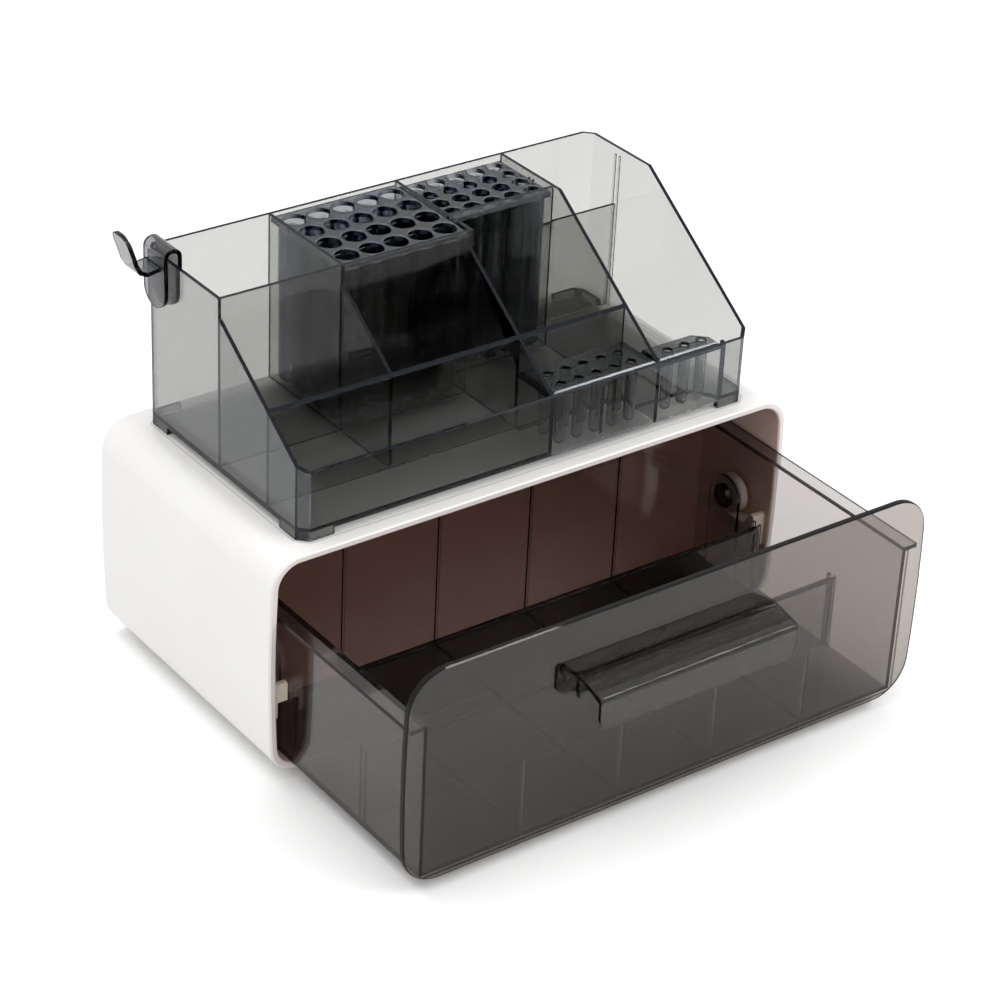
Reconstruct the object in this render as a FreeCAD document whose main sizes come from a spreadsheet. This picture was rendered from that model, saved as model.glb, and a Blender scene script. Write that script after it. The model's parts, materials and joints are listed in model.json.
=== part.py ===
# Brush holder with drawer: an open-fronted housing with a roller drawer, and a
# compartment tray with lift-out tube blocks on top.
# +X is right, +Y is back, +Z is up, in millimetres.
# The origin is the centre of the housing's flat underside.
import FreeCAD, Part
import Sketcher
import math
import os
import re

os.makedirs("parts", exist_ok=True)
doc = FreeCAD.newDocument("brush_holder")
dims = doc.addObject("Spreadsheet::Sheet", "dims")
V = FreeCAD.Vector


# ---------------------------------------------------------------- dimensions

def size(alias, value):
    """Name one driving dimension."""
    size.row += 1
    cell = "A%d" % size.row
    dims.set(cell, str(value))
    dims.setAlias(cell, alias)


size.row = 0
FOLLOWS = {}


def follows(name, formula):
    """Name a dimension that is worked out from the driving ones."""
    FOLLOWS[name] = "(%s)" % formula


# clearances
size("rest_gap", 0.3)
size("fit_gap", 0.4)
size("slide_gap", 0.5)
size("running_gap", 0.05)

# housing
size("housing_width", 331.5)
size("housing_depth", 168)
size("housing_height", 126.5)
size("housing_wall", 3.9)
size("housing_back", 3.4)
size("housing_corner", 17)
size("side_bow", 2.0)
size("rim_soft", 0.8)
size("pad_inset_x", 32)
size("pad_inset_y", 16)
size("pad_radius", 8)
size("pad_height", 5)

# drawer rails and rollers
size("rail_top", 44.8)
size("rail_thick", 3)
size("rail_front", 3.3)
size("rail_tab_high", 7.6)
size("rail_tab_long", 8)
size("roller_radius", 11.3)
size("roller_width", 5.6)
size("roller_back", 24.8)
size("axle_radius", 3.0)
size("axle_head", 7.2)
size("axle_head_high", 2.6)

# drawer
size("drawer_side", 13.25)
size("drawer_wall", 2.5)
size("drawer_short", 5)
size("drawer_held", 51.3)
size("drawer_under", 1.5)
size("drawer_headroom", 32.5)
size("flange_side", 5.75)
size("flange_thick", 2.5)
follows("drawer_half", "housing_width / 2 - drawer_side")
follows("flange_half", "housing_width / 2 - flange_side")
follows("drawer_length", "housing_depth - drawer_short")
follows("drawer_open", "drawer_length - drawer_held")
follows("drawer_top", "housing_height - drawer_headroom")
size("bay_pitch", 60.3)
size("groove_width", 2.5)
size("rib_width", 1.6)
size("rib_depth", 1.6)
size("divider_thick", 2.0)
size("divider_height", 42)
size("divider_front_back", 49)
size("divider_rear_in", 53)
follows("divider_rear_back", "drawer_length - divider_rear_in")
size("boss_half", 12)
size("panel_thick", 3.0)
size("panel_inset", 2.0)
size("panel_corner", 22)
size("panel_soft", 0.7)
size("panel_gap", 0.5)

# handle
size("handle_width", 125)
size("handle_below", 2)
follows("handle_top", "drawer_top - handle_below")
size("handle_reach", 19)
size("handle_drop", 4)
size("handle_lip", 19)
size("handle_wall", 2.4)
size("handle_leg", 13)
size("handle_leg_thick", 1.8)
size("bracket_reach", 13.5)
size("bracket_leg", 12)
size("tab_length", 23)
size("tab_height", 1.8)
size("tab_from_end", 19)
size("handle_round", 7)

# tubes of the blocks, each hole with its wall and the web to the next
size("large_top", 100.7)
size("large_hole", 6.7)
size("large_wall", 1.1)
size("large_web_x", 1.8)
size("large_web_y", 2.8)
size("large_end_x", 0.05)
size("large_end_y", 1.25)
size("small_top", 98.8)
size("small_hole", 5.0)
size("small_wall", 0.9)
size("small_web_x", 3.1)
size("small_web_y", 1.3)
size("small_end_x", 1.1)
size("small_end_y", 0)
size("block_plate", 3.2)
size("block_base", 1.8)
size("block_columns", 5)
size("block_rows", 4)
for kind in ("large", "small"):
    follows(kind + "_tube", "%s_hole + %s_wall" % (kind, kind))
    for way, count in (("x", "block_columns"), ("y", "block_rows")):
        follows("%s_pitch_%s" % (kind, way), "2 * %s_hole + %s_web_%s" % (kind, kind, way))
        follows("%s_run_%s" % (kind, way), "%s_pitch_%s * (%s - 1) + 2 * (%s_tube + %s_end_%s)"
                % (kind, way, count, kind, kind, way))

# tray
size("tray_side", 23.25)
size("tray_front_in", 9)
size("tray_back_in", 10.5)
size("tray_chamfer", 5.5)
size("tray_foot", 4.2)
size("foot_run", 20)
size("foot_thick", 3.4)
size("tray_floor", 2.5)
size("tray_wall", 2.2)
size("tray_high", 101.8)
size("tray_low", 39)
size("front_bay", 32)
size("slope_from_back", 54.9)
size("wall_mid", 10.9)
size("post_in", 18.1)
size("post_wide", 2.4)
size("seam_x", 43.7)
size("guide_wide", 0.9)
size("guide_deep", 1.1)
size("ledge_wide", 1.4)
size("ledge_high", 1.6)
size("right_bay", 18)
follows("tray_half", "housing_width / 2 - tray_side")
follows("tray_front", "housing_depth / 2 - tray_front_in")
follows("tray_back", "housing_depth / 2 - tray_back_in")
follows("slope_back", "tray_back - slope_from_back")
follows("wall_left", "wall_mid - large_run_x - 2 * fit_gap - tray_wall")
follows("wall_right", "wall_mid + small_run_x + 2 * fit_gap + tray_wall")
follows("cross_front", "-tray_front + front_bay")
follows("cross_mid", "tray_back - tray_wall * 1.5 - 2 * fit_gap - large_run_y")
follows("cross_rear", "tray_back - tray_wall * 1.5 - 2 * fit_gap - small_run_y")
follows("post_x", "tray_half - post_in")
follows("right_bay_back", "-tray_front + right_bay")

# liner plates with hanging tubes
size("liner_plate", 2.0)
size("liner_over", 0.9)
size("liner_hole", 2.4)
size("liner_wall", 0.7)
size("liner_pitch", 11.5)
size("liner_first_in", 10)
size("liner_bottom", 4.7)
size("liner_web", 1.0)
size("liner_skirt", 7)
size("liner_right_gap", 3.2)
size("liner_right_deep", 16.8)
size("liner_right_cut", 7.5)
size("liner_right_in", 11.3)
follows("liner_tube", "liner_hole + liner_wall")
follows("liner_first_x", "wall_mid + liner_pitch")
follows("liner_first_y", "-tray_front + liner_first_in")
follows("liner_right_end", "post_x - liner_right_gap")
follows("liner_right_back", "-tray_front + liner_right_deep")
follows("liner_right_first", "wall_right + liner_right_in")

# tray divider
size("tray_divider_in", 28.8)
size("tray_divider_high", 62)
follows("tray_divider_y", "tray_back - tray_divider_in")

# hook
size("hook_in", 18.4)
size("hook_width", 20.5)
size("hook_thick", 2.4)
size("hook_over", 9.3)
size("hook_span", 5.7)
size("hook_leg", 25.8)
follows("hook_y", "tray_back - hook_in")
doc.recompute()


# ------------------------------------------------------------------- helpers

WORD = r"\b([a-z]+_[a-z_]+)\b"


def ex(text):
    """Turn a formula of dimension names into a bound expression."""
    text = str(text)
    while any(word in FOLLOWS for word in re.findall(WORD, text)):
        text = re.sub(WORD, lambda found: FOLLOWS.get(found[1], found[1]), text)
    return re.sub(WORD, r"dims.\1", text)


def num(text):
    """The present value of a formula."""
    return float(dims.evalExpression(ex(text)))


def bind(item, prop, text):
    item.setExpression(prop, ex(text))


def place(item, x, y, z):
    bind(item, "Placement.Base.x", x)
    bind(item, "Placement.Base.y", y)
    bind(item, "Placement.Base.z", z)


def block(name, x0, x1, y0, y1, z0, z1):
    """A box between two corners given as formulas."""
    item = doc.addObject("Part::Box", name)
    place(item, x0, y0, z0)
    bind(item, "Length", "(%s) - (%s)" % (x1, x0))
    bind(item, "Width", "(%s) - (%s)" % (y1, y0))
    bind(item, "Height", "(%s) - (%s)" % (z1, z0))
    return item


TURNS = {
    "z": FreeCAD.Rotation(),
    "x": FreeCAD.Rotation(V(0, 1, 0), 90),
    "y": FreeCAD.Rotation(V(1, 0, 0), -90),
}


def rod(name, axis, x, y, z, radius, length):
    """A cylinder from a point along +X, +Y or +Z."""
    item = doc.addObject("Part::Cylinder", name)
    item.Placement = FreeCAD.Placement(V(), TURNS[axis])
    place(item, x, y, z)
    bind(item, "Radius", radius)
    bind(item, "Height", length)
    return item


def fuse(name, *items):
    item = doc.addObject("Part::MultiFuse", name)
    item.Shapes = list(items)
    item.Refine = True
    return item


def cut(name, base, *tools):
    item = doc.addObject("Part::Cut", name)
    item.Base = base
    item.Tool = tools[0] if len(tools) == 1 else fuse(name + "_tools", *tools)
    item.Refine = True
    return item


def common(name, one, two):
    item = doc.addObject("Part::MultiCommon", name)
    item.Shapes = [one, two]
    item.Refine = True
    return item


def new_body(name):
    return doc.addObject("PartDesign::Body", name)


def origin_plane(body, role):
    return [f for f in body.Origin.OriginFeatures if f.Role == role][0]


def sketch_on(body, name, role, offset):
    sketch = body.newObject("Sketcher::SketchObject", name)
    sketch.AttachmentSupport = [(origin_plane(body, role), "")]
    sketch.MapMode = "FlatFace"
    bind(sketch, "AttachmentOffset.Base.z", offset)
    return sketch


def pin_point(sketch, geo, end, x, y):
    """Hold one point of the sketch by two bound distances."""
    for kind, text in (("DistanceX", x), ("DistanceY", y)):
        index = sketch.addConstraint(Sketcher.Constraint(kind, geo, end, num(text)))
        sketch.setExpression("Constraints[%d]" % index, ex(text))


def outline(sketch, points):
    """A closed polygon, anticlockwise; a third item bows the edge that follows."""
    count = len(points)
    spots = [V(num(q[0]), num(q[1]), 0) for q in points]
    for i in range(count):
        start = spots[i]
        end = spots[(i + 1) % count]
        if len(points[i]) == 3:
            bow = num(points[i][2])
            chord = end - start
            side = V(chord.y, -chord.x, 0).normalize()
            middle = (start + end) * 0.5 + side * bow
            sketch.addGeometry(Part.Arc(start, middle, end))
        else:
            sketch.addGeometry(Part.LineSegment(start, end))
    for i in range(count):
        if len(points[i]) == 3:
            bow = points[i][2]
            following = points[(i + 1) % count]
            chord = "((%s) - (%s))" % (following[1], points[i][1])
            radius = "(%s ^ 2 / 4 + (%s) ^ 2) / (2 * (%s))" % (chord, bow, bow)
            index = sketch.addConstraint(Sketcher.Constraint("Radius", i, num(radius)))
            sketch.setExpression("Constraints[%d]" % index, ex(radius))
            pin_point(sketch, i, 1, *points[i][:2])
            pin_point(sketch, i, 2, *following[:2])
    for i in range(count):
        before = (i - 1) % count
        if len(points[i]) == 3 or len(points[before]) == 3:
            continue
        sketch.addConstraint(Sketcher.Constraint("Coincident", before, 2, i, 1))
        pin_point(sketch, i, 1, *points[i][:2])
    for i in range(count):
        before = (i - 1) % count
        if len(points[i]) == 3 or len(points[before]) == 3:
            sketch.addConstraint(Sketcher.Constraint("Coincident", before, 2, i, 1))


def pad(body, name, role, offset, length, points, reverse=False):
    sketch = sketch_on(body, name + "_sketch", role, offset)
    outline(sketch, points)
    item = body.newObject("PartDesign::Pad", name)
    item.Profile = sketch
    item.Reversed = reverse
    bind(item, "Length", length)
    doc.recompute()
    return item


def pocket(body, name, role, offset, length, points, reverse=False):
    before = body.Shape.Volume
    sketch = sketch_on(body, name + "_sketch", role, offset)
    outline(sketch, points)
    item = body.newObject("PartDesign::Pocket", name)
    item.Profile = sketch
    item.Reversed = reverse
    bind(item, "Length", length)
    doc.recompute()
    assert body.Shape.Volume < before - 1.0, name
    return item


def dressed(body, name, kind, wanted):
    """A fillet or chamfer on the edges of the body for which wanted(edge) is true."""
    tip = body.Tip
    names = []
    for i, edge in enumerate(tip.Shape.Edges):
        if wanted(edge):
            names.append("Edge%d" % (i + 1))
    assert names, name
    item = body.newObject("PartDesign::" + kind, name)
    item.Base = (tip, names)
    return item


def round_edges(body, name, radius, wanted):
    item = dressed(body, name, "Fillet", wanted)
    bind(item, "Radius", radius)
    doc.recompute()
    return item


def soften(body, name, cut_back, wanted):
    item = dressed(body, name, "Chamfer", wanted)
    bind(item, "Size", cut_back)
    doc.recompute()
    return item


def along(edge, axis):
    """True for a straight edge that runs along the axis."""
    if edge.Curve.TypeId != "Part::GeomLine":
        return False
    run = edge.Vertexes[1].Point - edge.Vertexes[0].Point
    return abs(abs(run.normalize().dot(axis)) - 1) < 1e-6


def grid(body, feature, columns, pitch_x, rows, pitch_y):
    """Repeat a feature along X and Y."""
    multi = body.newObject("PartDesign::MultiTransform", feature.Name + "_grid")
    steps = []
    for role, count, pitch in (("X_Axis", columns, pitch_x), ("Y_Axis", rows, pitch_y)):
        if count is None:
            continue
        step = body.newObject("PartDesign::LinearPattern", "%s_%s" % (feature.Name, role))
        step.Direction = (origin_plane(body, role), [""])
        bind(step, "Occurrences", count)
        bind(step, "Length", "(%s) * ((%s) - 1)" % (pitch, count))
        steps.append(step)
    multi.Originals = [feature]
    multi.Transformations = steps
    body.Tip = multi
    doc.recompute()
    return multi


def round_sketch(body, name, offset, x, y, radius):
    sketch = sketch_on(body, name, "XY_Plane", offset)
    centre = V(num(x), num(y), 0)
    sketch.addGeometry(Part.Circle(centre, V(0, 0, 1), num(radius)))
    pin_point(sketch, 0, 3, x, y)
    index = sketch.addConstraint(Sketcher.Constraint("Radius", 0, num(radius)))
    sketch.setExpression("Constraints[%d]" % index, ex(radius))
    return sketch


finished = []


def finish(item, node):
    item.Label = node
    finished.append((item, node))
    return item


# ------------------------------------------------------------------- housing

HALF = "(housing_width / 2 - side_bow)"
BACK = "(housing_depth / 2)"
FRONT = "(-housing_depth / 2)"
X = V(1, 0, 0)
Y = V(0, 1, 0)
Z = V(0, 0, 1)


def bowed(inset):
    """Rounded housing outline, moved in on every side, with bowed flanks."""
    side = "(%s - (%s))" % (HALF, inset)
    low = "(%s)" % inset
    high = "(housing_height - (%s))" % inset
    return [
        ("-" + side, low),
        (side, low, "side_bow"),
        (side, high),
        ("-" + side, high, "side_bow"),
    ]


def make_housing():
    body = new_body("housing_solid")
    # the outline's plane looks forward, so the offset is the back face
    pad(body, "housing_outer", "XZ_Plane", "-" + BACK, "housing_depth", bowed("0"))
    round_edges(body, "housing_corners", "housing_corner", lambda e: along(e, Y))
    inner = new_body("housing_cavity")
    pad(inner, "cavity_core", "XZ_Plane", "housing_back - " + BACK,
        "housing_depth", bowed("housing_wall"))
    round_edges(inner, "cavity_corners", "housing_corner - housing_wall",
                lambda e: along(e, Y))
    shell = cut("housing_cut", body, inner)
    doc.recompute()
    rims = []
    front = -num("housing_depth") / 2
    back = num("housing_depth") / 2
    for i, edge in enumerate(shell.Shape.Edges):
        box = edge.BoundBox
        at_front = abs(box.YMin - front) < 0.01 and abs(box.YMax - front) < 0.01
        at_back = abs(box.YMin - back) < 0.01 and abs(box.YMax - back) < 0.01
        if at_front or at_back:
            rims.append(i + 1)
    soft = doc.addObject("Part::Chamfer", "housing_soft")
    soft.Base = shell
    radius = num("rim_soft")
    soft.Edges = [(i, radius, radius) for i in rims]
    doc.recompute()
    return finish(soft, "housing_shell"), inner


def make_pads():
    number = 0
    for sx in ("-", ""):
        for sy in ("-", ""):
            number += 1
            x = sx + "(housing_width / 2 - pad_inset_x)"
            y = sy + "(housing_depth / 2 - pad_inset_y)"
            item = rod("pad_%d" % number, "z", x, y, "-pad_height", "pad_radius", "pad_height")
            soft = doc.addObject("Part::Chamfer", "pad_soft_%d" % number)
            soft.Base = item
            doc.recompute()
            soft.Edges = [(i + 1, 1.0, 1.0) for i, e in enumerate(item.Shape.Edges)
                          if e.BoundBox.ZMax < -0.5 * num("pad_height")]
            finish(soft, "foot_pad_%d" % number)


# ---------------------------------------------------------------------- rails

RAIL_NEAR = "(drawer_half + slide_gap)"
RAIL_Y0 = "(rail_front - housing_depth / 2)"
RAIL_Y1 = "(housing_depth / 2 - housing_back)"


def make_rail(side, cavity):
    """A shelf on the side wall, with a web below and a stop tab at the front."""
    name = "rail_" + side
    sign = "-" if side == "left" else ""
    lo, hi = RAIL_NEAR, "(housing_width / 2)"

    def span(a, b):
        return ("-" + b, "-" + a) if side == "left" else (a, b)

    shelf = block(name + "_shelf", *span(lo, hi), RAIL_Y0, RAIL_Y1,
                  "rail_top - rail_thick", "rail_top")
    web = block(name + "_web", *span("(housing_width / 2 - housing_wall - 3)", hi),
                RAIL_Y0, RAIL_Y1, "rail_top - 12", "rail_top")
    tab = new_body(name + "_tab")
    y0 = RAIL_Y0
    points = [
        (y0, "rail_top - rail_thick"),
        (y0 + " + rail_tab_long", "rail_top - rail_thick"),
        (y0 + " + rail_tab_long", "rail_top"),
        (y0 + " + rail_tab_long * 0.45", "rail_top + rail_tab_high"),
        (y0, "rail_top + rail_tab_high"),
    ]
    offset = RAIL_NEAR if side == "right" else "-(housing_width / 2)"
    pad(tab, name + "_stop", "YZ_Plane", offset,
        "housing_width / 2 - " + RAIL_NEAR, points)
    round_edges(tab, name + "_stop_round", "1.6",
                lambda e: along(e, X) and e.BoundBox.ZMin > num("rail_top") + 1)
    whole = fuse(name + "_blank", shelf, web, tab)
    item = common(name, whole, cavity)
    return finish(item, "drawer_rail_" + side)


# --------------------------------------------------------------------- drawer

PANEL_FACE = "(-housing_depth / 2 - panel_gap - drawer_open - panel_thick)"
PANEL_BACK = "(-housing_depth / 2 - panel_gap - drawer_open)"
BOX_BACK = "(-housing_depth / 2 - panel_gap - drawer_open + drawer_length)"
BOX_LOW = "(housing_wall + drawer_under)"
BOX_FLOOR = "(housing_wall + drawer_under + drawer_wall)"
INNER = "(drawer_half - drawer_wall)"
ROLLER_Y = "(-housing_depth / 2 - panel_gap - drawer_open + drawer_length - roller_back)"
ROLLER_Z = "(rail_top + roller_radius + running_gap)"
DIVIDERS = {"front": "divider_front_back", "rear": "divider_rear_back"}


def make_drawer_box():
    parts = [
        block("box_floor", "-drawer_half", "drawer_half", PANEL_BACK, BOX_BACK, BOX_LOW, BOX_FLOOR),
        block("box_rear", "-drawer_half", "drawer_half", BOX_BACK + " - drawer_wall", BOX_BACK,
              BOX_LOW, "drawer_top"),
    ]
    for side in ("left", "right"):
        def span(a, b, left=(side == "left")):
            return ("-(%s)" % b, "-(%s)" % a) if left else (a, b)
        parts.append(block("box_side_" + side, *span(INNER, "drawer_half"),
                           PANEL_BACK, BOX_BACK, BOX_LOW, "drawer_top"))
        parts.append(block("box_flange_" + side, *span(INNER, "flange_half"),
                           PANEL_BACK, BOX_BACK, "drawer_top - flange_thick", "drawer_top"))
        for place_name, back in DIVIDERS.items():
            for k, shift in enumerate(("-", "")):
                middle = "%s + %s" % (PANEL_BACK, back)
                near = "divider_thick / 2 + fit_gap"
                far = near + " + rib_width"
                if shift == "-":
                    y0, y1 = "%s - (%s)" % (middle, far), "%s - (%s)" % (middle, near)
                else:
                    y0, y1 = "%s + %s" % (middle, near), "%s + %s" % (middle, far)
                parts.append(block(
                    "box_rib_%s_%s_%d" % (side, place_name, k),
                    *span(INNER + " - rib_depth", INNER + " + 0.2"),
                    y0, y1, BOX_FLOOR + " - 0.2", BOX_FLOOR + " + divider_height + 2"))
        # the roller's boss: an arch-topped thickening of the wall
        x0, x1 = span(INNER + " - 1.6", INNER + " + 0.2")
        parts.append(block("box_boss_" + side, x0, x1, ROLLER_Y + " - boss_half",
                           ROLLER_Y + " + boss_half", BOX_FLOOR + " - 0.2", ROLLER_Z))
        parts.append(rod("box_arch_" + side, "x", x0, ROLLER_Y, ROLLER_Z, "boss_half", "1.8"))
    # ribs on the rear wall in line with the bays
    for k in range(4):
        x = "bay_pitch * %s" % (k - 1.5)
        parts.append(block("box_rear_rib_%d" % k, x + " - rib_width / 2", x + " + rib_width / 2",
                           BOX_BACK + " - drawer_wall - 1.2", BOX_BACK + " - drawer_wall + 0.2",
                           BOX_FLOOR + " - 0.2", "drawer_top - 3"))
    # narrow seams pressed into the underside, one in line with each rib
    tools = []
    for k in range(4):
        x = "bay_pitch * %s" % (k - 1.5)
        tools.append(block("box_seam_%d" % k, x + " - 0.6", x + " + 0.6",
                           PANEL_BACK + " - 1", BOX_BACK + " + 1",
                           BOX_LOW + " - 1", BOX_LOW + " + 0.9"))
    for side in ("left", "right"):
        x = "-(drawer_half + 1)" if side == "left" else INNER + " - 4"
        tools.append(rod("box_axle_hole_" + side, "x", x, ROLLER_Y, ROLLER_Z,
                         "axle_radius", "drawer_wall + 5"))
    item = cut("drawer_box_cut", fuse("drawer_box_blank", *parts), *tools)
    return finish(item, "drawer_box")


def make_drawer_front():
    body = new_body("front_solid")
    side = "(%s - panel_inset)" % HALF
    low = "panel_inset"
    high = "(housing_height - panel_inset)"
    points = [("-" + side, low), (side, low, "side_bow"), (side, high), ("-" + side, high, "side_bow")]
    pad(body, "front_plate", "XZ_Plane", "-" + PANEL_BACK, "panel_thick", points)
    round_edges(body, "front_corners", "panel_corner", lambda e: along(e, Y))
    face = num(PANEL_FACE)
    soften(body, "front_soft", "panel_soft",
           lambda e: abs(e.BoundBox.YMax - face) < 0.01)
    ribs = []
    for k in range(4):
        x = "bay_pitch * %s" % (k - 1.5)
        ribs.append(block("front_rib_%d" % k, x + " - rib_width / 2", x + " + rib_width / 2",
                          PANEL_BACK + " - 0.2", PANEL_BACK + " + 0.9",
                          BOX_FLOOR + " + 0.3", BOX_FLOOR + " + divider_height"))
    slots = []
    for k, (x0, x1) in enumerate(tab_spans("fit_gap")):
        slots.append(block("front_slot_%d" % k, x0, x1, PANEL_FACE + " - 2", PANEL_BACK + " + 2",
                           TAB_LOW + " - fit_gap", TAB_LOW + " + tab_height + fit_gap"))
    item = cut("front_cut", fuse("front_blank", body, *ribs), *slots)
    return finish(item, "drawer_front")


# --------------------------------------------------------------------- handle

TAB_LOW = "(handle_top - handle_leg / 2 - tab_height / 2)"


def tab_spans(gap):
    inner = "handle_width / 2 - tab_from_end - tab_length - (%s)" % gap
    outer = "handle_width / 2 - tab_from_end + (%s)" % gap
    return [("-(%s)" % outer, "-(%s)" % inner), (inner, outer)]


def make_grip():
    """A folded strip: leg on the panel, sloping top plate, hanging lip."""
    body = new_body("grip_solid")
    back = "(-housing_depth / 2 - panel_gap - drawer_open - panel_thick)"
    wall = "handle_wall"
    tip = "(%s - handle_reach)" % back
    points = [
        (back, "handle_top - handle_leg"),
        (back, "handle_top"),
        (tip, "handle_top - handle_drop"),
        (tip, "handle_top - handle_drop - handle_lip"),
        (tip + " + " + wall, "handle_top - handle_drop - handle_lip"),
        (tip + " + " + wall, "handle_top - handle_drop - " + wall + " - 1.5"),
        (back + " - handle_leg_thick", "handle_top - " + wall),
        (back + " - handle_leg_thick", "handle_top - handle_leg"),
    ]
    pad(body, "grip_strip", "YZ_Plane", "-handle_width / 2", "handle_width", points)
    tip_y = num(tip)
    top_z = num("handle_top - handle_drop")

    def fold(edge):
        box = edge.BoundBox
        return along(edge, X) and abs(box.YMin - tip_y) < 0.01 and abs(box.ZMin - top_z) < 0.01

    def lip_corner(edge):
        box = edge.BoundBox
        low = num("handle_top - handle_drop - handle_lip")
        return along(edge, Y) and box.ZMax < low + 0.01

    round_edges(body, "grip_fold", "3", fold)
    round_edges(body, "grip_lip", "handle_round", lip_corner)
    tabs = []
    for k, (x0, x1) in enumerate(tab_spans("0")):
        tabs.append(block("grip_tab_%d" % k, x0, x1, back + " - 1",
                          back + " + panel_thick + handle_leg_thick + 1.4",
                          TAB_LOW, TAB_LOW + " + tab_height"))
        tabs.append(block("grip_barb_%d" % k, x0, x1,
                          back + " + panel_thick + handle_leg_thick + 0.3",
                          back + " + panel_thick + handle_leg_thick + 1.4",
                          TAB_LOW, TAB_LOW + " + tab_height + 1"))
    return finish(fuse("grip_whole", body, *tabs), "handle_grip")


def make_bracket():
    """The inner counterpart: leg on the panel, level plate, short back leg."""
    body = new_body("bracket_solid")
    front = PANEL_BACK
    wall = "handle_wall"
    tip = "(%s + bracket_reach)" % front
    points = [
        (front, "handle_top - handle_leg"),
        (front + " + handle_leg_thick", "handle_top - handle_leg"),
        (front + " + handle_leg_thick", "handle_top - " + wall),
        (tip + " - " + wall, "handle_top - " + wall),
        (tip + " - " + wall, "handle_top - bracket_leg"),
        (tip, "handle_top - bracket_leg"),
        (tip, "handle_top"),
        (front, "handle_top"),
    ]
    pad(body, "bracket_strip", "YZ_Plane", "-handle_width / 2", "handle_width", points)
    tip_y = num(tip)
    top_z = num("handle_top")

    def fold(edge):
        box = edge.BoundBox
        return along(edge, X) and abs(box.YMin - tip_y) < 0.01 and abs(box.ZMin - top_z) < 0.01

    def leg_corner(edge):
        box = edge.BoundBox
        low = num("handle_top - bracket_leg")
        far = num(tip) - num(wall) - 0.1
        return along(edge, Y) and box.ZMax < low + 0.01 and box.YMin > far

    round_edges(body, "bracket_fold", "2.4", fold)
    round_edges(body, "bracket_leg", "6", leg_corner)
    slots = []
    for k, (x0, x1) in enumerate(tab_spans("fit_gap")):
        slots.append(block("bracket_slot_%d" % k, x0, x1, front + " - 1",
                           front + " + handle_leg_thick + 0.2",
                           TAB_LOW + " - fit_gap", TAB_LOW + " + tab_height + fit_gap"))
    return finish(cut("bracket_cut", body, *slots), "handle_bracket")


# ------------------------------------------------------- dividers and rollers

def make_drawer_divider(which):
    back = DIVIDERS[which]
    middle = "%s + %s" % (PANEL_BACK, back)
    half = INNER + " - fit_gap"
    name = "divider_" + which
    y0 = middle + " - divider_thick / 2"
    y1 = middle + " + divider_thick / 2"
    low = BOX_FLOOR + " + rest_gap"
    high = BOX_FLOOR + " + divider_height"
    plate = block(name + "_plate", "-(%s)" % half, half, y0, y1, low, high)
    cap = block(name + "_cap", "-(%s - rib_depth - 2)" % half, half + " - rib_depth - 2",
                y0 + " - 0.5", y1 + " + 0.5", high + " - 1.6", high)
    return finish(fuse(name, plate, cap), "drawer_divider_" + which)


def make_roller(side):
    """A flat wheel with a rounded tread, outside the drawer's wall."""
    name = "roller_" + side
    near = "(drawer_half + 0.3)"
    x = near if side == "right" else "-%s - roller_width" % near
    wheel = rod(name + "_wheel", "x", x, ROLLER_Y, ROLLER_Z, "roller_radius", "roller_width")
    doc.recompute()
    soft = doc.addObject("Part::Chamfer", name + "_soft")
    soft.Base = wheel
    soft.Edges = [(i + 1, 0.8, 0.8) for i, e in enumerate(wheel.Shape.Edges)
                  if e.Curve.TypeId == "Part::GeomCircle"]
    bore = rod(name + "_bore", "x", x + " - 1", ROLLER_Y, ROLLER_Z,
               "axle_radius + running_gap", "roller_width + 2")
    dish_x = x + " + roller_width - 1" if side == "right" else x + " - 1"
    ring = cut(name + "_ring",
               rod(name + "_dish", "x", dish_x, ROLLER_Y, ROLLER_Z, "roller_radius - 2", "2"),
               rod(name + "_hub", "x", dish_x, ROLLER_Y, ROLLER_Z, "axle_radius + 2.2", "2"))
    return finish(cut(name, soft, bore, ring), "roller_" + side)


def make_axle(side):
    """A shaft through the boss with a domed head inside the drawer."""
    name = "axle_" + side
    head_face = "(%s - 1.6)" % INNER
    outer = "(drawer_half + 0.3 + roller_width)"
    collar = "0.9"
    if side == "right":
        shaft_x = head_face + " - 0.5"
        head_x = head_face + " - axle_head_high"
        collar_x = outer + " + 0.3"
    else:
        shaft_x = "-%s - 1.2" % outer
        head_x = "-" + head_face
        collar_x = "-%s - 0.3 - %s" % (outer, collar)
    shaft = rod(name + "_shaft", "x", shaft_x, ROLLER_Y, ROLLER_Z, "axle_radius",
                "(%s + 1.2) - (%s - 0.5)" % (outer, head_face))
    head = rod(name + "_head", "x", head_x, ROLLER_Y, ROLLER_Z, "axle_head", "axle_head_high")
    doc.recompute()
    inward = num(head_x) if side == "right" else num(head_x) + num("axle_head_high")
    soft = doc.addObject("Part::Chamfer", name + "_dome")
    soft.Base = head
    soft.Edges = [(i + 1, 1.8, 1.8) for i, e in enumerate(head.Shape.Edges)
                  if abs(e.BoundBox.XMin - inward) < 0.01 and abs(e.BoundBox.XMax - inward) < 0.01]
    cap = rod(name + "_collar", "x", collar_x, ROLLER_Y, ROLLER_Z, "axle_radius + 1.2", collar)
    return finish(fuse(name, shaft, soft, cap), "roller_axle_" + side)


# ----------------------------------------------------------------------- tray

TOP = "housing_height"
TRAY_FOOT_LOW = "(housing_height + rest_gap)"
TRAY_LOW = "(housing_height + tray_foot)"
FLOOR_TOP = "(housing_height + tray_foot + tray_floor)"
TRAY_TOP = "(housing_height + tray_high)"
LOW_TOP = "(housing_height + tray_low)"
HW = "(tray_wall / 2)"


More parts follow.
